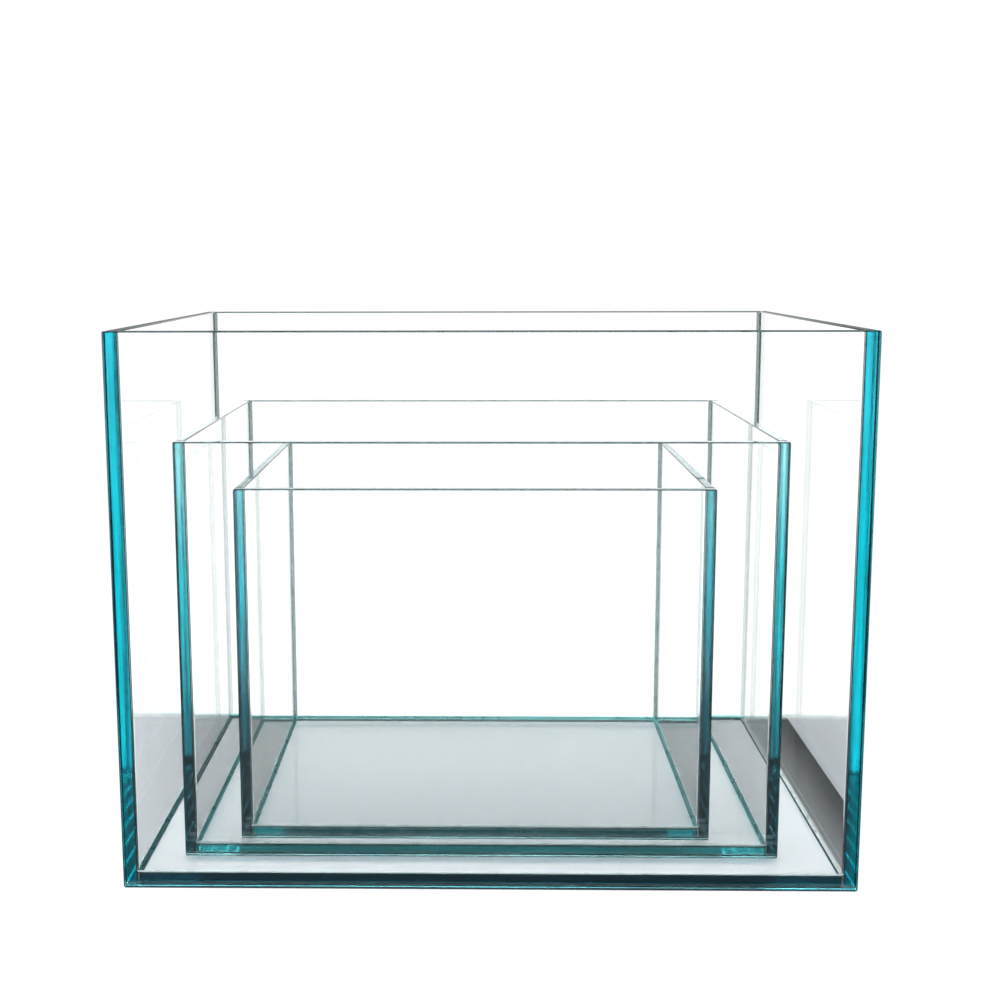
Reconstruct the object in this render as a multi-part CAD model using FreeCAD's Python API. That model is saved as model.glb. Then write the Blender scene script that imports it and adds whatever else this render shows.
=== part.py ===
"""Three rimless glass aquarium tanks that nest in one another.

Each tank is five polished panes bonded with clear silicone. Its front and back panes run its whole length, the
two side panes stand between them, and the floor pane lies inside all four walls, flush with their lower edges.
A thin layer of silicone fills every joint, and a small concave bead runs up the four inside corners and round
the floor. The medium tank stands loose on the large tank's floor, the small tank stands loose on the medium
tank's floor, and both lift straight out.

Millimetres. The origin is the middle of the large tank's underside. +X runs along its length, +Y points to its
back and +Z points up.
"""

import FreeCAD
import Part

import os
from dataclasses import dataclass

# Large tank, outside sizes and glass.
LARGE_LENGTH = 600.0
LARGE_DEPTH = 350.0
LARGE_HEIGHT = 457.0
LARGE_WALL = 10.0
LARGE_FLOOR = 10.0

# Medium tank: its height and glass, and the room left between its outside and the large tank's walls.
MEDIUM_HEIGHT = 355.0
MEDIUM_WALL = 8.0
MEDIUM_FLOOR = 8.0
MEDIUM_ROOM_LEFT = 33.0
MEDIUM_ROOM_RIGHT = 47.0
MEDIUM_ROOM_FRONT = 26.5
MEDIUM_ROOM_BACK = 18.5

# Small tank: the same, inside the medium tank.
SMALL_HEIGHT = 305.0
SMALL_WALL = 8.0
SMALL_FLOOR = 8.0
SMALL_ROOM_LEFT = 37.0
SMALL_ROOM_RIGHT = 47.0
SMALL_ROOM_FRONT = 9.5
SMALL_ROOM_BACK = 9.5

# Shared by all three tanks.
ARRIS = 1.0  # polished 45 degree bevel along every edge of a pane
BOND = 1.0  # thickness of the silicone layer in a joint
BEAD = 2.5  # radius of the tooled silicone bead in the inside corners
REST_GAP = 0.3  # air film between a nested tank and the floor that it stands on

PARTS_FOLDER = "parts"


def block(x0, x1, y0, y1, z0, z1):
    """A plain box between two corners."""
    return Part.makeBox(x1 - x0, y1 - y0, z1 - z0, FreeCAD.Vector(x0, y0, z0))


def prism(outline, z0, z1):
    """An upright solid on a flat outline of (x, y) points."""
    points = [FreeCAD.Vector(x, y, z0) for x, y in outline]
    face = Part.Face(Part.makePolygon(points + points[:1]))
    return face.extrude(FreeCAD.Vector(0, 0, z1 - z0))


@dataclass
class Tank:
    """One tank: its outside box, its glass, and the planes that its panes and seams share."""

    name: str
    x0: float
    x1: float
    y0: float
    y1: float
    z0: float
    height: float
    wall: float
    floor: float

    def __post_init__(self):
        self.rim = self.z0 + self.height
        self.floor_top = self.z0 + self.floor
        # The inside faces of the four walls.
        self.left_in = self.x0 + self.wall
        self.right_in = self.x1 - self.wall
        self.front_in = self.y0 + self.wall
        self.back_in = self.y1 - self.wall

    def pane(self, x0, x1, y0, y1, z0, z1):
        """A sheet of glass with all its edges bevelled."""
        sheet = block(x0, x1, y0, y1, z0, z1)
        return sheet.makeChamfer(ARRIS, sheet.Edges)

    def panes(self):
        """The five panes by name. The front and back overlap the sides, and the walls surround the floor."""
        side_y0 = self.front_in + BOND
        side_y1 = self.back_in - BOND
        return {
            "front_pane": self.pane(self.x0, self.x1, self.y0, self.front_in, self.z0, self.rim),
            "back_pane": self.pane(self.x0, self.x1, self.back_in, self.y1, self.z0, self.rim),
            "left_pane": self.pane(self.x0, self.left_in, side_y0, side_y1, self.z0, self.rim),
            "right_pane": self.pane(self.right_in, self.x1, side_y0, side_y1, self.z0, self.rim),
            "floor_pane": self.pane(
                self.left_in + BOND, self.right_in - BOND, side_y0, side_y1, self.z0, self.floor_top
            ),
        }

    def between_walls(self, z0, z1):
        """The box between the inside faces of the four walls."""
        return block(self.left_in, self.right_in, self.front_in, self.back_in, z0, z1)

    def water(self):
        """The free space inside the tank. Its rounded lower and upright edges leave room for the beads."""
        above_rim = self.rim + self.height
        space = self.between_walls(self.floor_top, above_rim)
        rounded = [edge for edge in space.Edges if edge.BoundBox.ZMin < self.rim]
        return space.makeFillet(BEAD, rounded)

    def corner_seams(self, panes, water):
        """The upright joint at each end of each side pane: a flat layer between the panes and a bead inside."""
        seams = {}
        foot = self.z0 + ARRIS
        top = self.rim - ARRIS
        bead_foot = self.floor_top + BEAD
        deep = BOND + ARRIS
        for end, wall_y, inward in (("front", self.front_in, 1), ("back", self.back_in, -1)):
            layer_y = sorted((wall_y, wall_y + inward * deep))
            bead_y = sorted((wall_y, wall_y + inward * BEAD))
            sides = (
                ("left", self.x0 + ARRIS, self.left_in, self.left_in + BEAD),
                ("right", self.x1 - ARRIS, self.right_in, self.right_in - BEAD),
            )
            for side, outer_x, wall_x, bead_x in sides:
                layer = block(*sorted((outer_x, wall_x)), *layer_y, foot, top)
                bead = block(*sorted((wall_x, bead_x)), *bead_y, bead_foot, top)
                seam = layer.fuse(bead).cut(panes[f"{side}_pane"]).cut(water)
                seams[f"corner_seam_{end}_{side}"] = seam.removeSplitter()
        return seams

    def floor_seams(self, panes, water):
        """The joint round the floor pane: one ring of silicone, mitred into a strip along each wall."""
        bead_top = self.floor_top + BEAD
        ring = self.between_walls(self.z0 + ARRIS, bead_top).cut(panes["floor_pane"]).cut(water)
        reach = BOND + ARRIS + BEAD  # further in than the silicone goes
        outer = (
            (self.left_in, self.front_in),
            (self.right_in, self.front_in),
            (self.right_in, self.back_in),
            (self.left_in, self.back_in),
        )
        inner = (
            (self.left_in + reach, self.front_in + reach),
            (self.right_in - reach, self.front_in + reach),
            (self.right_in - reach, self.back_in - reach),
            (self.left_in + reach, self.back_in - reach),
        )
        seams = {}
        for start, side in enumerate(("front", "right", "back", "left")):
            end = (start + 1) % len(outer)
            strip = prism((outer[start], outer[end], inner[end], inner[start]), self.z0, bead_top)
            seams[f"floor_seam_{side}"] = ring.common(strip).removeSplitter()
        return seams

    def solids(self):
        """Every piece of the tank, by node name."""
        panes = self.panes()
        water = self.water()
        pieces = {**panes, **self.corner_seams(panes, water), **self.floor_seams(panes, water)}
        return {f"{self.name}_{piece}": solid for piece, solid in pieces.items()}


def nested(name, host, height, wall, floor, room_left, room_right, room_front, room_back):
    """A tank that stands on the floor of its host, with the given room to each of the host's walls."""
    return Tank(
        name=name,
        x0=host.left_in + room_left,
        x1=host.right_in - room_right,
        y0=host.front_in + room_front,
        y1=host.back_in - room_back,
        z0=host.floor_top + REST_GAP,
        height=height,
        wall=wall,
        floor=floor,
    )


def make_tanks():
    large = Tank(
        name="large",
        x0=-LARGE_LENGTH / 2,
        x1=LARGE_LENGTH / 2,
        y0=-LARGE_DEPTH / 2,
        y1=LARGE_DEPTH / 2,
        z0=0.0,
        height=LARGE_HEIGHT,
        wall=LARGE_WALL,
        floor=LARGE_FLOOR,
    )
    medium = nested(
        "medium", large, MEDIUM_HEIGHT, MEDIUM_WALL, MEDIUM_FLOOR,
        MEDIUM_ROOM_LEFT, MEDIUM_ROOM_RIGHT, MEDIUM_ROOM_FRONT, MEDIUM_ROOM_BACK,
    )  # fmt: skip
    small = nested(
        "small", medium, SMALL_HEIGHT, SMALL_WALL, SMALL_FLOOR,
        SMALL_ROOM_LEFT, SMALL_ROOM_RIGHT, SMALL_ROOM_FRONT, SMALL_ROOM_BACK,
    )  # fmt: skip
    return large, medium, small


def main():
    os.makedirs(PARTS_FOLDER, exist_ok=True)
    for tank in make_tanks():
        for node, solid in tank.solids().items():
            solid.exportStep(f"{PARTS_FOLDER}/{node}.step")
            volume = solid.Volume / 1000
            print(f"{node}: {len(solid.Solids)} solid, {volume:.2f} cm3, valid {solid.isValid()}")


main()
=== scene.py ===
# %% [markdown]
# # A nest of rimless glass tanks
# The object is three open glass boxes, one standing loose inside the next. Each box is five sheets of float
# glass bonded edge to edge with clear silicone. Nothing is painted and nothing is printed, so the whole
# look comes from how light travels in the glass: sideways through a thin sheet it stays almost white, and
# lengthwise through the same sheet it turns sea green. The frame already holds every sheet at its real
# size, so this script only gives the glass its finish, tools the silicone beads, and sets up a table, some
# light and a camera.

import math

import bmesh
import bpy
from mathutils import Matrix, Vector, noise


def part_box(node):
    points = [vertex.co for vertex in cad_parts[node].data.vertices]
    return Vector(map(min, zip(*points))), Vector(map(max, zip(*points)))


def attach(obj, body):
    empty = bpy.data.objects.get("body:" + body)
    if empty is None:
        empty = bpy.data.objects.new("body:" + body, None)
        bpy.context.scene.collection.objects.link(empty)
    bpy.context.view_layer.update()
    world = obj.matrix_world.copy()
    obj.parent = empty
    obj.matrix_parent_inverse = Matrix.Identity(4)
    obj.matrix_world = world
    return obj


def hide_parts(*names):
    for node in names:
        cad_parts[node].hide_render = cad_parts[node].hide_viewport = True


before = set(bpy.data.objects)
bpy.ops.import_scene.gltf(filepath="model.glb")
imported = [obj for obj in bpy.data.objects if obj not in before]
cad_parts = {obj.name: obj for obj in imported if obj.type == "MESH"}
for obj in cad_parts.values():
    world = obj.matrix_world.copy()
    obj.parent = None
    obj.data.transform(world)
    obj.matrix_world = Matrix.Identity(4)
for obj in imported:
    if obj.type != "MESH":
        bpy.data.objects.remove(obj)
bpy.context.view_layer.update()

# %% [markdown]
# ## Measuring the frame
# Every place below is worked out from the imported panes, so a change of size in the design carries through.
# A tank's outside box runs from the front pane's lowest corner to the back pane's highest one. The glass
# thickness, the layer of silicone, the bead and the polished bevel follow from where neighbouring panes and
# seams stop.

# %% Measure each tank
TANKS = ("large", "medium", "small")
MM = 0.001


class Tank:
    """The planes that one tank's panes and seams share, read from its panes."""

    def __init__(self, name):
        self.name = name
        self.body = f"{name}_tank"
        front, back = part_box(f"{name}_front_pane"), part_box(f"{name}_back_pane")
        left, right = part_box(f"{name}_left_pane"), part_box(f"{name}_right_pane")
        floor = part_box(f"{name}_floor_pane")
        self.low, self.high = front[0], back[1]
        self.front_in, self.back_in = front[1].y, back[0].y
        self.left_in, self.right_in = left[1].x, right[0].x
        self.floor_top = floor[1].z
        self.wall = self.left_in - self.low.x
        self.bond = left[0].y - self.front_in
        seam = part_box(f"{name}_corner_seam_front_left")
        self.arris = self.high.z - seam[1].z
        self.bead = seam[1].x - self.left_in


tanks = {name: Tank(name) for name in TANKS}
for tank in tanks.values():
    size = (tank.high - tank.low) / MM
    print(f"{tank.name}: {size.x:.0f} x {size.y:.0f} x {size.z:.0f} mm, glass {tank.wall / MM:.1f} mm, "
          f"bond {tank.bond / MM:.1f} mm, bead {tank.bead / MM:.1f} mm, arris {tank.arris / MM:.1f} mm")

# %% [markdown]
# ## The camera
# The view is from the front, a little above the rims, looking slightly down, so that the rims, the floors
# and the side panes can all be read at once. The upright edges hardly lean, which is how a shifted lens
# draws them: the camera tips down only a little, and the lens shift brings the tanks into the frame.

# %% Place the camera
CAMERA_STAND_OFF = 0.8669
CAMERA_ABOVE_RIM = 0.0525
CAMERA_ASIDE = -0.010
CAMERA_TURN = math.radians(0.773)
CAMERA_TIP = math.radians(7.047)
CAMERA_ROLL = math.radians(-0.106)
LENS_MM = 40.64
LENS_SHIFT = (0.0383, -0.0983)

large = tanks["large"]
lens = bpy.data.cameras.new("camera")
lens.lens = LENS_MM
lens.shift_x, lens.shift_y = LENS_SHIFT
camera = bpy.data.objects.new("camera", lens)
camera.matrix_world = (
    Matrix.Translation((CAMERA_ASIDE, large.low.y - CAMERA_STAND_OFF, large.high.z + CAMERA_ABOVE_RIM))
    @ Matrix.Rotation(CAMERA_TURN, 4, "Z")
    @ Matrix.Rotation(math.pi / 2 - CAMERA_TIP, 4, "X")
    @ Matrix.Rotation(CAMERA_ROLL, 4, "Z")
)
bpy.context.scene.collection.objects.link(camera)
bpy.context.scene.camera = camera
print("camera at", [round(v, 3) for v in camera.matrix_world.translation])

# %% [markdown]
# ## Helpers for node trees
# Shader trees are easier to read as code when adding a node and linking it take one line. `wire` takes
# either a socket or a plain value for an input, and the helpers after it wrap one node each. The Mix node
# keeps a pair of inputs for every kind of data: numbers are the third and fourth, colours the seventh and
# eighth.


# %% Node helpers
def wire(tree, value, socket):
    """Links a socket, or sets a plain value."""
    if isinstance(value, bpy.types.NodeSocket):
        tree.links.new(value, socket)
    else:
        socket.default_value = value


def maths(tree, operation, *values, clamp=False):
    node = tree.nodes.new("ShaderNodeMath")
    node.operation = operation
    node.use_clamp = clamp
    for value, socket in zip(values, node.inputs):
        wire(tree, value, socket)
    return node.outputs[0]


def blend(tree, factor, first, second):
    """A colour that runs from first to second as factor goes from 0 to 1."""
    node = tree.nodes.new("ShaderNodeMix")
    node.data_type = "RGBA"
    wire(tree, factor, node.inputs[0])
    wire(tree, first, node.inputs[6])
    wire(tree, second, node.inputs[7])
    return node.outputs[2]


def pick(tree, mask, off, on):
    """One of two numbers: off where the mask is 0, on where it is 1."""
    node = tree.nodes.new("ShaderNodeMix")
    wire(tree, mask, node.inputs[0])
    wire(tree, off, node.inputs[2])
    wire(tree, on, node.inputs[3])
    return node.outputs[0]


def ramp(tree, value, start, stop, low=0.0, high=1.0):
    """A number that runs smoothly from low to high as the value goes from start to stop."""
    node = tree.nodes.new("ShaderNodeMapRange")
    node.interpolation_type = "SMOOTHSTEP"
    numbers = {"Value": value, "From Min": start, "From Max": stop, "To Min": low, "To Max": high}
    for label, number in numbers.items():
        wire(tree, number, node.inputs[label])
    return node.outputs["Result"]


def new_group(name, inputs, outputs):
    """An empty node group with named sockets, and its two end nodes."""
    group = bpy.data.node_groups.new(name, "ShaderNodeTree")
    for label, kind, value in inputs:
        socket = group.interface.new_socket(label, in_out="INPUT", socket_type=f"NodeSocket{kind}")
        socket.default_value = value
    for label, kind in outputs:
        group.interface.new_socket(label, in_out="OUTPUT", socket_type=f"NodeSocket{kind}")
    return group, group.nodes.new("NodeGroupInput"), group.nodes.new("NodeGroupOutput")


def place_group(tree, group, **values):
    """One use of a group in a material, with its own values."""
    node = tree.nodes.new("ShaderNodeGroup")
    node.node_tree = group
    for label, value in values.items():
        wire(tree, value, node.inputs[label.replace("_", " ")])
    return node


def new_material(name):
    material = bpy.data.materials.new(name)
    material.use_nodes = True
    tree = material.node_tree
    return material, tree, tree.nodes["Principled BSDF"], tree.nodes["Material Output"]


# %% [markdown]
# ## Finding the edges of a pane
# A sheet of float glass has two kinds of surface. Its two broad faces were formed on molten tin and are
# perfectly smooth. Its narrow edges were cut, ground and then polished, and each corner was taken off as a
# thin bevel called the arris. Their finish differs, so the materials need to know which is which. The
# direction of the surface is enough to tell: along the sheet's thin axis it's a broad face, across it an
# edge, and an arris leans halfway between two of the frame's axes. The edge that the tank stands on is
# ground but not polished, because nobody sees it.

# %% Group: pane edges
BROAD_LIMIT = 0.5
ARRIS_LIMIT = 0.9

pane_edges, start, end = new_group(
    "pane edges",
    [("Thin axis", "Vector", (0, 1, 0))],
    [("Edge", "Float"), ("Arris", "Float"), ("Lower edge", "Float")],
)
surface = pane_edges.nodes.new("ShaderNodeNewGeometry")
across = pane_edges.nodes.new("ShaderNodeVectorMath")
across.operation = "DOT_PRODUCT"
wire(pane_edges, surface.outputs["True Normal"], across.inputs[0])
wire(pane_edges, start.outputs["Thin axis"], across.inputs[1])
facing = maths(pane_edges, "ABSOLUTE", across.outputs["Value"])
edge = maths(pane_edges, "LESS_THAN", facing, BROAD_LIMIT)
parts = pane_edges.nodes.new("ShaderNodeSeparateXYZ")
wire(pane_edges, surface.outputs["True Normal"], parts.inputs[0])
steepest = maths(
    pane_edges, "MAXIMUM",
    maths(pane_edges, "MAXIMUM", *(maths(pane_edges, "ABSOLUTE", parts.outputs[axis]) for axis in "XY")),
    maths(pane_edges, "ABSOLUTE", parts.outputs["Z"]),
)
wire(pane_edges, edge, end.inputs["Edge"])
wire(pane_edges, maths(pane_edges, "LESS_THAN", steepest, ARRIS_LIMIT), end.inputs["Arris"])
downward = maths(pane_edges, "LESS_THAN", parts.outputs["Z"], -ARRIS_LIMIT)
wire(pane_edges, maths(pane_edges, "MULTIPLY", downward, edge), end.inputs["Lower edge"])
print("group:", pane_edges.name)

# %% [markdown]
# ## The table
# Glass has no colour of its own to look at: it shows what is around it, so the stage is half of the
# picture. Clear glass shows best against something that shines, with dark card where its edges should look
# dark. A studio would build that from paper, board and lamps. Here one flat sheet under the tanks carries
# it all, and its material is told where to be which. The sheet lies a hair below the tanks, so that no two
# surfaces share a plane.

# %% Lay the table
TABLE_REACH = 40.0
TABLE_DROP = 0.2 * MM

table_mesh = bpy.data.meshes.new("table")
table_top = large.low.z - TABLE_DROP
corners = [(x * TABLE_REACH, y * TABLE_REACH, table_top) for x, y in ((-1, -1), (1, -1), (1, 1), (-1, 1))]
table_mesh.from_pydata(corners, [], [(0, 1, 2, 3)])
table = bpy.data.objects.new("table", table_mesh)
bpy.context.scene.collection.objects.link(table)
print("table top at", round(table_top / MM, 2), "mm")

# %% [markdown]
# ## Zones of the table
# The first question for each ray is whether it sees panel. Just behind the tanks the sheet turns into a
# light panel, and it is one far out on every side as well. Mirrored rays find that outer panel switched
# off. Rays straight from the camera see panel everywhere, so the background is one even white. The material
# tells the cases apart by the place on the table and by Blender's Light Path node, which counts what a ray
# has met. Those counts are whole numbers, so half a bounce is the limit between none and one.

# %% Zones: where the panel is
PANEL_START = 4 * MM
PANEL_FADE = 10 * MM
PANEL_APART = {"X": 0.45, "Y": 0.30}
HALF_A_BOUNCE = 0.5

table_finish, tree, shader, output = new_material("white_table")
spot = tree.nodes.new("ShaderNodeTexCoord")
where = tree.nodes.new("ShaderNodeSeparateXYZ")
wire(tree, spot.outputs["Object"], where.inputs[0])
ray = tree.nodes.new("ShaderNodeLightPath")
mirrored = maths(tree, "GREATER_THAN", ray.outputs["Glossy Depth"], HALF_A_BOUNCE)
unmirrored = maths(tree, "SUBTRACT", 1.0, mirrored)
behind = maths(tree, "SUBTRACT", where.outputs["Y"], large.high.y + PANEL_START)
behind = maths(tree, "MULTIPLY", behind, 1 / PANEL_FADE, clamp=True)
past = [
    maths(tree, "GREATER_THAN", maths(tree, "ABSOLUTE", where.outputs[axis]), reach)
    for axis, reach in PANEL_APART.items()
]
apart = maths(tree, "MULTIPLY", maths(tree, "MAXIMUM", *past), unmirrored)
panel = maths(tree, "MAXIMUM", maths(tree, "MAXIMUM", behind, apart), ray.outputs["Is Camera Ray"])
unlit = maths(tree, "SUBTRACT", 1.0, panel)
print("panel from", round((large.high.y + PANEL_START) / MM), "mm behind the middle")

# %% [markdown]
# ## Paper and board
# What isn't panel is matt. Under the tanks it is white paper. To their left and right it is grey board, so
# the table looks grey through the side walls. Along the right wall the board darkens in a strip of painted
# shadow, the tanks' shadow from the key at the front left. A ray that was mirrored finds almost black card
# instead: without the card the panes would mirror white paper, and their dark edges would fade.

# %% Paper and board
PAPER_WHITE = 1.0
PAPER_SHADE = (0.91, 0.955, 1, 1)
BOARD_LEFT = 0.31
BOARD_NEAR = 0.34
# The darkest board, in the strip of painted shadow beside the right wall.
BOARD_PAINTED_SHADOW = 0.07
BOARD_FAR = 0.60
SHADOW_STRIP_WIDTH = 47 * MM
BLACK_CARD = 0.02

shadow_strip_end = large.high.x + SHADOW_STRIP_WIDTH
# Painted shadow: beside the right wall the board darkens across a strip, standing in for the tanks' shadow.
board = ramp(tree, where.outputs["X"], large.high.x, shadow_strip_end, BOARD_NEAR, BOARD_PAINTED_SHADOW)
board = pick(tree, maths(tree, "GREATER_THAN", where.outputs["X"], shadow_strip_end), board, BOARD_FAR)
sheet = pick(tree, maths(tree, "GREATER_THAN", where.outputs["X"], large.high.x), PAPER_WHITE, board)
sheet = pick(tree, maths(tree, "LESS_THAN", where.outputs["X"], large.low.x), sheet, BOARD_LEFT)
paper = maths(tree, "MULTIPLY", pick(tree, mirrored, sheet, BLACK_CARD), unlit)
print("dark strip ends at", round(shadow_strip_end / MM), "mm")

# %% [markdown]
# ## Light lost in the glass
# Every surface of glass turns a few percent of the light away, and a look through all three tanks crosses
# twelve of them, so a panel that shone evenly would look grey through the middle. This one gives each ray
# back what it lost: its strength grows with the number of surfaces passed. The paper glows a little too, by
# a share of its own shade. For rays that crossed many surfaces it glows more, the further back they land,
# since light falling on the innermost floor has already been through the same walls.

# %% Shine and glow
PANEL_WHITE = 1.03
GAIN_PER_SURFACE = 1.048
GLOW_EVEN = 0.35
GLOW_FROM = 4
GLOW_REACH = 0.14
GLOW_RISE = (0.0, 0.10)

surfaces = ray.outputs["Transmission Depth"]
gain = maths(tree, "POWER", GAIN_PER_SURFACE, surfaces)
shine = maths(tree, "MULTIPLY", maths(tree, "MULTIPLY", panel, PANEL_WHITE), gain)
deeper = maths(tree, "MAXIMUM", maths(tree, "SUBTRACT", surfaces, GLOW_FROM), 0.0)
glow = maths(tree, "MULTIPLY", deeper, ramp(tree, where.outputs["Y"], -GLOW_REACH, GLOW_REACH, *GLOW_RISE))
glow = maths(tree, "MULTIPLY", glow, maths(tree, "MULTIPLY", unmirrored, unlit))
glow = maths(tree, "MULTIPLY_ADD", paper, GLOW_EVEN, glow)
shine = maths(tree, "ADD", shine, glow)
print("panel gain after 12 surfaces:", round(GAIN_PER_SURFACE**12, 2))

# %% Finish the table
matt = tree.nodes.new("ShaderNodeBsdfDiffuse")
lamp = tree.nodes.new("ShaderNodeEmission")
both = tree.nodes.new("ShaderNodeAddShader")
wire(tree, blend(tree, paper, (0, 0, 0, 1), PAPER_SHADE), matt.inputs["Color"])
wire(tree, shine, lamp.inputs["Strength"])
wire(tree, matt.outputs[0], both.inputs[0])
wire(tree, lamp.outputs[0], both.inputs[1])
wire(tree, both.outputs[0], output.inputs["Surface"])
tree.nodes.remove(shader)
table_mesh.materials.append(table_finish)
print("table finish:", table_finish.name)

# %% [markdown]
# ## The room
# The world is a dim white room, and it lights the glass from all sides. A bright band stands a little above
# the horizon, like a row of windows, because panes seen at a slant mirror just that height. Rays that no
# surface has bounced, only bent, see the sky as white as the panel, with the same gain for the glass they
# passed, so that table and sky join without a line.

# %% White room
ROOM_LIGHT = 0.28
BAND_LIGHT = 2.2
BAND_FOOT = 0.09
BAND_TOP = 0.31
BAND_FADE = 0.07

scene = bpy.context.scene
scene.world = bpy.data.worlds.new("white_room")
scene.world.use_nodes = True
sky = scene.world.node_tree
backdrop = sky.nodes["Background"]
backdrop.inputs["Color"].default_value = (1, 1, 1, 1)
ray = sky.nodes.new("ShaderNodeLightPath")
direction = sky.nodes.new("ShaderNodeTexCoord")
height = sky.nodes.new("ShaderNodeSeparateXYZ")
wire(sky, direction.outputs["Generated"], height.inputs[0])
band = maths(sky, "SUBTRACT", BAND_TOP, height.outputs["Z"])
band = maths(sky, "DIVIDE", band, BAND_FADE, clamp=True)
band = maths(sky, "MULTIPLY", band, maths(sky, "GREATER_THAN", height.outputs["Z"], BAND_FOOT))
room = maths(sky, "MULTIPLY_ADD", band, BAND_LIGHT - ROOM_LIGHT, ROOM_LIGHT)
bounces = maths(sky, "ADD", ray.outputs["Glossy Depth"], ray.outputs["Diffuse Depth"])
straight = maths(sky, "LESS_THAN", bounces, HALF_A_BOUNCE)
gain = maths(sky, "POWER", GAIN_PER_SURFACE, ray.outputs["Transmission Depth"])
seen = maths(sky, "MULTIPLY", maths(sky, "MULTIPLY", straight, gain), PANEL_WHITE)
wire(sky, maths(sky, "MAXIMUM", room, seen), backdrop.inputs["Strength"])
print("room:", scene.world.name)

# %% [markdown]
# ## The softboxes
# Two round softboxes light the paper. The small one at the front left is the key: the sheets of glass
# mirror it, and its shadows fall to the back right. The wide one overhead lights the floors through the
# open tops. A pane mirrors everything bright, and a mirrored image of the wide box would lie like milk over
# every bevel and floor, so it is hidden from mirrored rays. In a studio a polarising filter does that.

# %% Softboxes
KEY_PLACE = Vector((-1.3, -0.95, 1.9))
KEY_SIZE = 0.16
KEY_POWER = 165.0
TOP_PLACE = Vector((0, 0, 2.4))
TOP_SIZE = 1.4
TOP_POWER = 60.0
AIM = Vector((0, 0, 0.1))


def softbox(name, place, size, power, mirrored):
    """A round softbox that faces the tanks, and that the glass mirrors or not."""
    light = bpy.data.lights.new(name, "AREA")
    light.shape = "DISK"
    light.size = size
    light.energy = power
    box = bpy.data.objects.new(name, light)
    box.location = place
    box.rotation_mode = "QUATERNION"
    box.rotation_quaternion = (place - AIM).to_track_quat("Z", "Y")
    box.visible_glossy = mirrored
    bpy.context.scene.collection.objects.link(box)
    print(f"{name}: {power:.0f} W")


softbox("key_softbox", KEY_PLACE, KEY_SIZE, KEY_POWER, mirrored=True)
softbox("top_softbox", TOP_PLACE, TOP_SIZE, TOP_POWER, mirrored=False)

# %% [markdown]
# ## How far a ray may go
# A ray that enters the edge of a sheet is mirrored to and fro inside it dozens of times before it comes
# out, and each surface on the way counts as a bounce. If it ran out of bounces it would end in black, so
# the limits are high. The colours go to the screen unchanged by any film look.

# %% Bounces and colours
GLASS_BOUNCES = 40
MATT_BOUNCES = 4
CLEAR_BOUNCES = 32

scene.cycles.max_bounces = GLASS_BOUNCES
scene.cycles.transmission_bounces = GLASS_BOUNCES
scene.cycles.glossy_bounces = GLASS_BOUNCES
scene.cycles.diffuse_bounces = MATT_BOUNCES
scene.cycles.transparent_max_bounces = CLEAR_BOUNCES
scene.cycles.blur_glossy = 0.0
scene.view_settings.view_transform = "Standard"
print("bounces:", GLASS_BOUNCES)

# %% [markdown]
# ## The green of an edge, with painted shade and light
# Soda-lime float glass holds a little iron, which takes out red much faster than green and blue. Across a
# sheet the path is a few millimetres and the glass looks white; along a sheet it is a third of a metre and
# the edge looks sea green. Absorption inside the volume draws this by itself, but a real edge goes further:
# its ground and polished skin scatters light, and low on the tank it shows the dark underside. So the edge
# carries a painted colour over its green: a painted shade that deepens it towards the foot, a painted light
# that pales it towards the rim, and the fine streaks that the polishing belt left along it. The streaks vary
# fast across the thickness of the sheet and slowly along it. Smooth noise stays near its middle value, so its
# sway is widened before it shades the colour.

# %% Group: edge green and shade
STREAKS_ACROSS = 900
STREAKS_ALONG = 14
NOISE_MIDDLE = 0.5
NOISE_WIDEN = 4.0
PAINTED_LIGHT_RISE = 0.55
PAINTED_SHADE_FADE = (0.4, 1.6)

edge_green_and_shade, start, end = new_group(
    "edge green",
    [
        ("Thin axis", "Vector", (0, 1, 0)),
        ("Foot", "Float", 0),
        ("Height", "Float", 0.4),
        ("Deep below", "Float", 0.1),
        ("Deep", "Color", (0, 0.1, 0.12, 1)),
        ("Sea", "Color", (0, 0.5, 0.6, 1)),
        ("Pale", "Color", (0.1, 0.6, 0.7, 1)),
        ("Streaks", "Float", 0.3),
    ],
    [("Colour", "Color"), ("Marks", "Float")],
)
spot = edge_green_and_shade.nodes.new("ShaderNodeTexCoord")
split = edge_green_and_shade.nodes.new("ShaderNodeSeparateXYZ")
wire(edge_green_and_shade, spot.outputs["Object"], split.inputs[0])
rise = maths(edge_green_and_shade, "SUBTRACT", split.outputs["Z"], start.outputs["Foot"])
fade = [maths(edge_green_and_shade, "MULTIPLY", start.outputs["Deep below"], share) for share in PAINTED_SHADE_FADE]
# Painted shade: near the foot the edge takes the Deep colour, above it the Sea green. Painted light: from a
# little above half height it pales towards the rim.
clear_of_painted_shade = ramp(edge_green_and_shade, rise, *fade)
high = ramp(edge_green_and_shade, maths(edge_green_and_shade, "DIVIDE", rise, start.outputs["Height"]), PAINTED_LIGHT_RISE, 1.0)
colour = blend(edge_green_and_shade, clear_of_painted_shade, start.outputs["Deep"], start.outputs["Sea"])
colour = blend(edge_green_and_shade, high, colour, start.outputs["Pale"])

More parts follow.
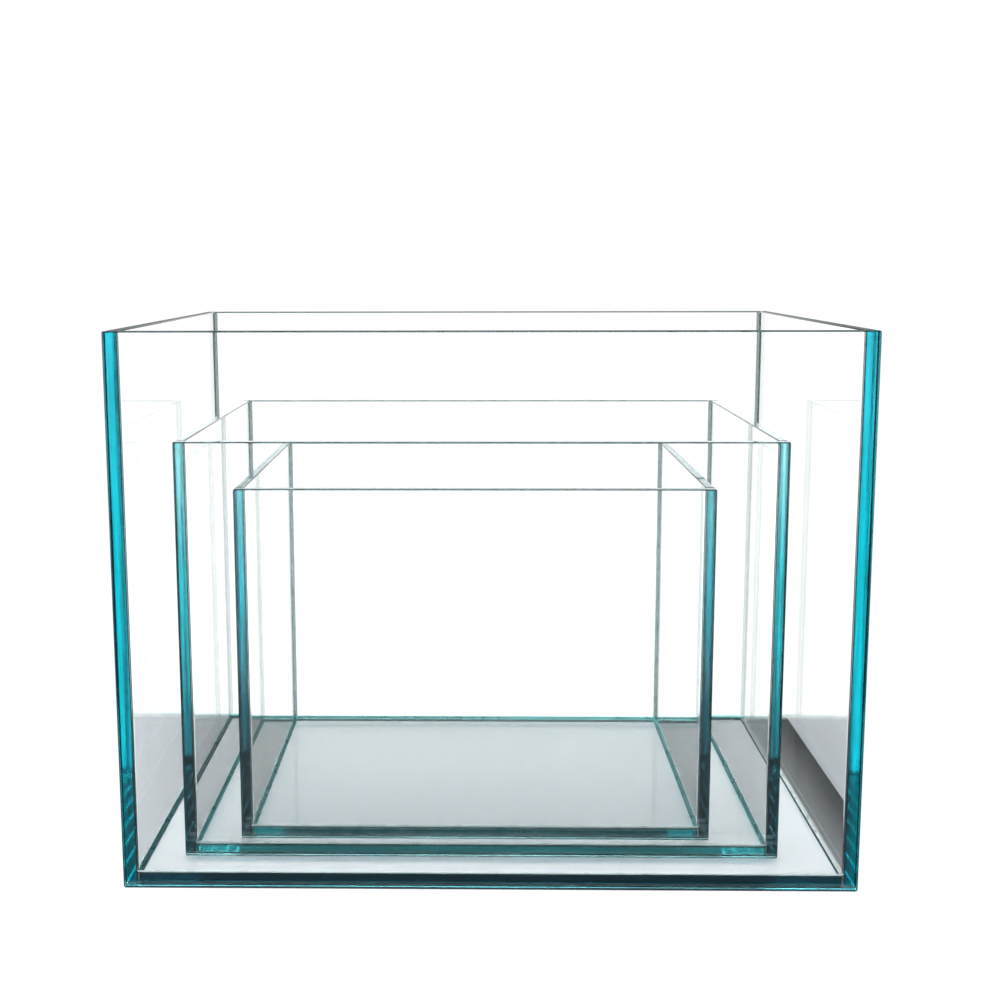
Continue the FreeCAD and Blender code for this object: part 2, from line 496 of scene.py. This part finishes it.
# %% Streaks of the polishing belt
stretch = edge_green_and_shade.nodes.new("ShaderNodeVectorMath")
stretch.operation = "MULTIPLY_ADD"
wire(edge_green_and_shade, start.outputs["Thin axis"], stretch.inputs[0])
wire(edge_green_and_shade, (STREAKS_ACROSS - STREAKS_ALONG,) * 3, stretch.inputs[1])
wire(edge_green_and_shade, (STREAKS_ALONG,) * 3, stretch.inputs[2])
scaled = edge_green_and_shade.nodes.new("ShaderNodeVectorMath")
scaled.operation = "MULTIPLY"
wire(edge_green_and_shade, spot.outputs["Object"], scaled.inputs[0])
wire(edge_green_and_shade, stretch.outputs[0], scaled.inputs[1])
grain = edge_green_and_shade.nodes.new("ShaderNodeTexNoise")
wire(edge_green_and_shade, scaled.outputs[0], grain.inputs["Vector"])
wire(edge_green_and_shade, 1.0, grain.inputs["Scale"])
wire(edge_green_and_shade, 1.0, grain.inputs["Detail"])
sway = maths(edge_green_and_shade, "SUBTRACT", grain.outputs["Fac"], NOISE_MIDDLE)
sway = maths(edge_green_and_shade, "MULTIPLY", sway, start.outputs["Streaks"])
level = maths(edge_green_and_shade, "MULTIPLY_ADD", sway, NOISE_WIDEN, 1.0)
shade = edge_green_and_shade.nodes.new("ShaderNodeVectorMath")
shade.operation = "SCALE"
wire(edge_green_and_shade, colour, shade.inputs[0])
wire(edge_green_and_shade, level, shade.inputs["Scale"])
wire(edge_green_and_shade, shade.outputs[0], end.inputs["Colour"])
wire(edge_green_and_shade, grain.outputs["Fac"], end.inputs["Marks"])
print("group:", edge_green_and_shade.name)

# %% [markdown]
# ## Ripple
# Float glass looks perfectly flat until something is mirrored in it: then the mirror image sways a little,
# because the ribbon was drawn out of the furnace over rollers. The sway is long and very shallow, and it
# runs mostly one way. Silicone has a ripple too, shorter and rounder, from the hand that drew the tool. One
# group makes both: smooth noise, stretched along one direction, given out as a height for a Bump node.

# %% Group: ripple
ripple, start, end = new_group(
    "ripple",
    [("Length", "Float", 0.05), ("Stretch", "Vector", (1, 1, 1))],
    [("Height", "Float")],
)
spot = ripple.nodes.new("ShaderNodeTexCoord")
drawn = ripple.nodes.new("ShaderNodeVectorMath")
drawn.operation = "MULTIPLY"
wire(ripple, spot.outputs["Object"], drawn.inputs[0])
wire(ripple, start.outputs["Stretch"], drawn.inputs[1])
swell = ripple.nodes.new("ShaderNodeTexNoise")
wire(ripple, drawn.outputs[0], swell.inputs["Vector"])
wire(ripple, maths(ripple, "DIVIDE", 1.0, start.outputs["Length"]), swell.inputs["Scale"])
wire(ripple, 0.0, swell.inputs["Detail"])
wire(ripple, swell.outputs["Fac"], end.inputs["Height"])
print("group:", ripple.name)

# %% [markdown]
# ## Glass
# Each material is an ordinary glass surface with a plain Volume Absorption behind it. The broad faces keep
# no tint and no roughness. The edges take their green, with its painted shade and light, from the group
# above. The arrises are hazy and painted almost black, a painted shade: a bevel bends the view away from the
# light and into the length of the sheet, which is why every rim reads as a dark line. The ground lower edge
# is dull. Tanks differ: the inner ones are seen through more glass and stand in more shade, so their edges
# are painted deeper near the foot. Each tank's floor edge is one flat colour, painted dark on the large
# tank and light on the medium one, as painted shade and light.

# %% Glass: finish of the edges
# Painted shade: the arris colour is nearly black, for the dark line that a bevel shows.
ARRIS_PAINTED_SHADE = (0.008, 0.022, 0.024, 1)
ARRIS_ROUGH = 0.12
GROUND_ROUGH = 0.4
EDGE_STREAKS = 0.5
MARKS_SWING = (0.6, 1.4)
MARKS_DEPTH = 0.02 * MM
# Sea is the edge's green. Deep is a painted shade at the foot, and Pale a painted light towards the rim.
WALL_GREEN_AND_SHADE = {
    "large": {
        "Deep": (0.004, 0.62, 0.85, 1),
        "Sea": (0.002, 0.62, 0.74, 1),
        "Pale": (0.06, 0.66, 0.80, 1),
        "Deep below": 0.03,
    },
    "medium": {
        "Deep": (0.03, 0.09, 0.12, 1),
        "Sea": (0.012, 0.54, 0.62, 1),
        "Pale": (0.55, 0.98, 1.00, 1),
        "Deep below": 0.09,
    },
    "small": {
        "Deep": (0.03, 0.07, 0.09, 1),
        "Sea": (0.004, 0.40, 0.50, 1),
        "Pale": (0.25, 0.58, 0.64, 1),
        "Deep below": 0.13,
    },
}
# Painted light and shade: one flat floor edge colour per tank, dark on the large tank, light on the medium
# one.
FLOOR_EDGE_LIGHT_AND_SHADE = {
    "large": (0.008, 0.09, 0.14, 1),
    "medium": (0.12, 0.70, 0.74, 1),
    "small": (0.01, 0.30, 0.33, 1),
}


def edge_finish(tree, tank, pane, thin_axis):
    """Masks of the pane's edges, and the green that those edges show, with its painted shade and light."""
    masks = place_group(tree, pane_edges, Thin_axis=thin_axis)
    tints = dict(WALL_GREEN_AND_SHADE[tank.name])
    if pane == "floor_pane":
        tints.update(dict.fromkeys(("Deep", "Sea", "Pale"), FLOOR_EDGE_LIGHT_AND_SHADE[tank.name]))
    height = tank.high.z - tank.low.z
    green = place_group(
        tree, edge_green_and_shade, Thin_axis=thin_axis, Foot=tank.low.z, Height=height, Streaks=EDGE_STREAKS, **tints
    )
    return masks.outputs, green.outputs


print("tints for", ", ".join(WALL_GREEN_AND_SHADE))

# %% Glass: one material for each pane
GLASS_IOR = 1.52
ABSORB_PER_METRE = (1.6, 0.5, 0.4)
RIPPLE_DEPTH = 0.015 * MM
RIPPLE_LENGTH = 0.09
RIPPLE_STRETCH = (1, 1, 0.3)
THIN_AXES = {
    "front_pane": (0, 1, 0),
    "back_pane": (0, 1, 0),
    "left_pane": (1, 0, 0),
    "right_pane": (1, 0, 0),
    "floor_pane": (0, 0, 1),
}


def glass_bump(tree, masks, green):
    """Long ripples on the broad faces, and the polishing belt's marks on the edges."""
    sway = place_group(tree, ripple, Length=RIPPLE_LENGTH, Stretch=RIPPLE_STRETCH)
    drawn = maths(tree, "MULTIPLY", sway.outputs["Height"], RIPPLE_DEPTH)
    scored = maths(tree, "MULTIPLY", green["Marks"], MARKS_DEPTH)
    bump = tree.nodes.new("ShaderNodeBump")
    wire(tree, 1.0, bump.inputs["Distance"])
    wire(tree, pick(tree, masks["Edge"], drawn, scored), bump.inputs["Height"])
    return bump.outputs["Normal"]


def glass_material(tank, pane, thin_axis):
    material, tree, shader, output = new_material(f"{tank.name}_{pane}_glass")
    masks, green = edge_finish(tree, tank, pane, thin_axis)
    # The edges get the green with its painted shade and light, and the arrises a nearly black painted shade.
    colour = blend(tree, masks["Edge"], (1, 1, 1, 1), green["Colour"])
    wire(tree, blend(tree, masks["Arris"], colour, ARRIS_PAINTED_SHADE), shader.inputs["Base Color"])
    hazy = maths(tree, "MULTIPLY", masks["Arris"], ARRIS_ROUGH)
    dull = maths(tree, "MULTIPLY", masks["Lower edge"], GROUND_ROUGH)
    worn = ramp(tree, green["Marks"], 0.0, 1.0, *MARKS_SWING)
    wire(tree, maths(tree, "MULTIPLY", maths(tree, "MAXIMUM", hazy, dull), worn), shader.inputs["Roughness"])
    wire(tree, glass_bump(tree, masks, green), shader.inputs["Normal"])
    shader.inputs["Transmission Weight"].default_value = 1.0
    shader.inputs["IOR"].default_value = GLASS_IOR
    inside = tree.nodes.new("ShaderNodeVolumeAbsorption")
    density = max(ABSORB_PER_METRE)
    inside.inputs["Density"].default_value = density
    inside.inputs["Color"].default_value = (*(1 - a / density for a in ABSORB_PER_METRE), 1)
    wire(tree, inside.outputs["Volume"], output.inputs["Volume"])
    return material


for tank in tanks.values():
    for pane, thin_axis in THIN_AXES.items():
        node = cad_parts[f"{tank.name}_{pane}"]
        node.material_slots[0].material = glass_material(tank, pane, thin_axis)
print("glass on", len(tanks) * len(THIN_AXES), "panes")

# %% [markdown]
# ## Silicone
# Silicone is squeezed between the sheets and then tooled with a rounded stick, before a skin forms on it.
# What shows is the tooled face: faintly rippled, glossier in some places than in others, with a few bubbles
# that were trapped under it. The beads are all of one clear stuff, but clear silicone takes the colour of
# what lies behind it and of the light on it, so the finishes below are lit and shaded copies of one
# silicone. Along the front of a floor it is painted pale, as painted light; along the other walls it is
# painted with the green of the floor's edge and with painted shade; in the back corners it is painted grey,
# as painted shade. Each of these is a finish of its own.

# %% Silicone materials
SILICONE_IOR = 1.41
TOOL_RIPPLE_LENGTH = 0.012
TOOL_RIPPLE_DEPTH = 0.03 * MM
BUBBLES_PER_METRE = 420
BUBBLE_SHARE = 0.06
BUBBLE_RADIUS = (0.10, 0.18)
BUBBLE_SHADE = 0.85
ROUGH_SWING = (0.7, 1.4)


def bubbles(tree):
    """A mask of small dots, in a few of the cells that fill the silicone."""
    spot = tree.nodes.new("ShaderNodeTexCoord")
    cells = tree.nodes.new("ShaderNodeTexVoronoi")
    wire(tree, spot.outputs["Object"], cells.inputs["Vector"])
    wire(tree, BUBBLES_PER_METRE, cells.inputs["Scale"])
    chance = tree.nodes.new("ShaderNodeSeparateXYZ")
    wire(tree, cells.outputs["Color"], chance.inputs[0])
    dot = ramp(tree, cells.outputs["Distance"], *BUBBLE_RADIUS, 1.0, 0.0)
    return maths(tree, "MULTIPLY", dot, maths(tree, "LESS_THAN", chance.outputs["X"], BUBBLE_SHARE))


def silicone(name, tint, clear, roughness):
    """Silicone with the ripple of the tool, and a few trapped bubbles that show as small darker dots."""
    material, tree, shader, output = new_material(name)
    shader.inputs["Transmission Weight"].default_value = clear
    shader.inputs["IOR"].default_value = SILICONE_IOR
    darker = tuple(BUBBLE_SHADE * channel for channel in tint[:3]) + (1,)
    wire(tree, blend(tree, bubbles(tree), tint, darker), shader.inputs["Base Color"])
    tooled = place_group(tree, ripple, Length=TOOL_RIPPLE_LENGTH)
    swing = [roughness * share for share in ROUGH_SWING]
    wire(tree, ramp(tree, tooled.outputs["Height"], 0.0, 1.0, *swing), shader.inputs["Roughness"])
    bump = tree.nodes.new("ShaderNodeBump")
    wire(tree, TOOL_RIPPLE_DEPTH, bump.inputs["Distance"])
    wire(tree, tooled.outputs["Height"], bump.inputs["Height"])
    wire(tree, bump.outputs["Normal"], shader.inputs["Normal"])
    return material


bond_layer = silicone("bond_layer", tint=(0.97, 1.0, 1.0, 1), clear=1.0, roughness=0.08)
# Lit and shaded copies of one clear silicone: the pale bead is painted light, and the grey, sea and green
# beads are painted shade, the last two with the floor edge's green painted in.
skins = {
    "clear_bead": silicone("clear_bead", tint=(0.88, 0.97, 0.97, 1), clear=1.0, roughness=0.06),
    "grey_bead": silicone("grey_bead", tint=(0.08, 0.11, 0.11, 1), clear=1.0, roughness=0.08),
    "pale_bead": silicone("pale_bead", tint=(0.93, 1.0, 0.99, 1), clear=0.3, roughness=0.3),
    "sea_bead": silicone("sea_bead", tint=(0.10, 0.46, 0.46, 1), clear=0.9, roughness=0.3),
    "green_bead": silicone("green_bead", tint=(0.01, 0.22, 0.22, 1), clear=0.9, roughness=0.3),
}
print("bead finishes:", ", ".join(skins))

# %% [markdown]
# ## Drawing a bead
# The frame's seams have the exact section, but they share faces with the glass, and a renderer can't tell
# which of two surfaces in one place it meets first. So each seam is made anew, a hair smaller than its
# joint. A curve with a bevel could do it, but its ends can't be mitred. Sweeping a flat section through a
# row of rings can, and it lets the depth of the bead waver along the run, as a bead drawn by hand does. The
# section is a hollow arc, the part that shows, and the layer behind it that fills the joint. The arc gets
# the bead's finish, the layer its own.

# %% Sweep a seam
ARC_STEPS = 8
RING_SPACING = 6 * MM
FEWEST_STEPS = 2
BEAD_WAVER = 0.04
WAVER_LENGTH = 0.05
SHARP_ANGLE = math.radians(30)


def strip_mesh(name, section, length, place, seed):
    """A closed strip through rings of the section. The point (x, y) goes to place(x, y, along)."""
    bm = bmesh.new()
    count = max(int(length / RING_SPACING), FEWEST_STEPS)
    rings = []
    for step in range(count + 1):
        along = length * step / count
        hollow = 1 + BEAD_WAVER * noise.noise(Vector((along / WAVER_LENGTH, seed, 0))) - BEAD_WAVER / 2
        rings.append([bm.verts.new(place(x, y, along)) for x, y in section(hollow)])
    for ring, following in zip(rings, rings[1:]):
        for i in range(len(ring)):
            j = (i + 1) % len(ring)
            face = bm.faces.new((ring[i], ring[j], following[j], following[i]))
            face.material_index = int(i < ARC_STEPS)
    bm.faces.new(list(reversed(rings[0])))
    bm.faces.new(rings[-1])
    bmesh.ops.recalc_face_normals(bm, faces=bm.faces)
    mesh = bpy.data.meshes.new(name)
    bm.to_mesh(mesh)
    bm.free()
    return mesh


def add_seam(tank, node, section, length, place, seed, skin):
    """One seam that rides with its tank and stands in for the frame's own."""
    mesh = strip_mesh(f"{node}_bead", lambda hollow: section(tank, hollow), length, place, seed)
    mesh.shade_smooth()
    mesh.set_sharp_from_angle(angle=SHARP_ANGLE)
    mesh.materials.append(bond_layer)
    mesh.materials.append(skins[skin])
    piece = bpy.data.objects.new(f"{node}_bead", mesh)
    bpy.context.scene.collection.objects.link(piece)
    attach(piece, tank.body)
    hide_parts(node)
    return piece


print("a ring every", round(RING_SPACING / MM), "mm")

# %% [markdown]
# ## Corner seams
# At each upright corner the side pane stops a millimetre short of the front or back pane. Silicone fills
# that slot from the outside arris inward and ends in a bead in the inside corner. The run starts above the
# floor's bead and stops at the rim's arris. All four corners share one section, turned by the signs of its
# two directions.

# %% Corner seams
HAIR = 0.06 * MM


def hollow_arc(bead, lift=0.0):
    """The hollow face of a bead in the corner of two walls, with its foot lifted along the first wall."""
    angles = [math.pi / 2 * step / ARC_STEPS for step in range(ARC_STEPS + 1)]
    reach = bead - HAIR
    return [(bead - reach * math.sin(angle), lift + bead - reach * math.cos(angle)) for angle in angles]


def corner_section(tank, hollow):
    """A corner joint's outline: x inward from the side pane's inner face, y inward from the wall it meets."""
    bond, arris = tank.bond, tank.arris
    outer = arris - tank.wall
    layer = [(HAIR, bond + arris), (-arris, bond - HAIR), (outer, bond - HAIR), (outer, HAIR)]
    return hollow_arc(tank.bead * hollow) + layer


def upright(tank, end, side):
    """How the section's points stand in one inside corner, with the run going up."""
    wall_x, inward_x = {"left": (tank.left_in, 1), "right": (tank.right_in, -1)}[side]
    wall_y, inward_y = {"front": (tank.front_in, 1), "back": (tank.back_in, -1)}[end]
    foot = tank.floor_top + tank.bead

    def place(x, y, along):
        return wall_x + inward_x * x, wall_y + inward_y * y, foot + along

    return place


# The back corners get the grey finish, a painted shade; the front ones stay clear.
CORNER_SKINS = {"front": "clear_bead", "back": "grey_bead"}
seams = []
for tank in tanks.values():
    run = tank.high.z - tank.arris - (tank.floor_top + tank.bead)
    for end, skin in CORNER_SKINS.items():
        for side in ("left", "right"):
            node = f"{tank.name}_corner_seam_{end}_{side}"
            place = upright(tank, end, side)
            seams.append(add_seam(tank, node, corner_section, run, place, len(seams), skin))
print(len(seams), "corner seams")

# %% [markdown]
# ## Floor seams
# The floor pane lies inside the four walls with a millimetre of silicone all round, and a bead runs along
# the foot of every wall. The four strips meet in mitres, like the sides of a picture frame: the further in
# a point lies, the shorter its run. The large tank's bead along the right wall faces the key softbox with
# little glass between, so it gets the same pale finish as the ones at the front, a painted light. All other
# beads along the back and sides get darker finishes, a painted shade.

# %% Floor seams
# Painted light and shade: the pale finish at the front, darker green finishes along the back and sides.
FLOOR_SKINS = {"front": "pale_bead", "back": "sea_bead", "left": "green_bead", "right": "sea_bead"}
LARGE_RIGHT_LIT_SKIN = "pale_bead"


def floor_section(tank, hollow):
    """A floor joint's outline: x runs inward from the wall, y upward from the tank's underside."""
    bond, arris = tank.bond, tank.arris
    floor = tank.floor_top - tank.low.z
    layer = [(HAIR, arris), (bond - HAIR, arris), (bond - HAIR, floor - arris), (bond + arris, floor + HAIR)]
    return hollow_arc(tank.bead * hollow, lift=floor) + layer


def along_wall(tank, side, run):
    """How the section's points lie at the foot of one wall, mitred at both ends."""

    def place(x, y, along):
        mitred = x + along * (run - 2 * x) / run
        height = tank.low.z + y
        return {
            "front": (tank.left_in + mitred, tank.front_in + x, height),
            "back": (tank.left_in + mitred, tank.back_in - x, height),
            "left": (tank.left_in + x, tank.front_in + mitred, height),
            "right": (tank.right_in - x, tank.front_in + mitred, height),
        }[side]

    return place


for tank in tanks.values():
    length, depth = tank.right_in - tank.left_in, tank.back_in - tank.front_in
    for side, skin in FLOOR_SKINS.items():
        if tank is large and side == "right":
            skin = LARGE_RIGHT_LIT_SKIN
        run = length if side in ("front", "back") else depth
        node = f"{tank.name}_floor_seam_{side}"
        place = along_wall(tank, side, run)
        seams.append(add_seam(tank, node, floor_section, run, place, len(seams), skin))
print(len(seams), "seams")
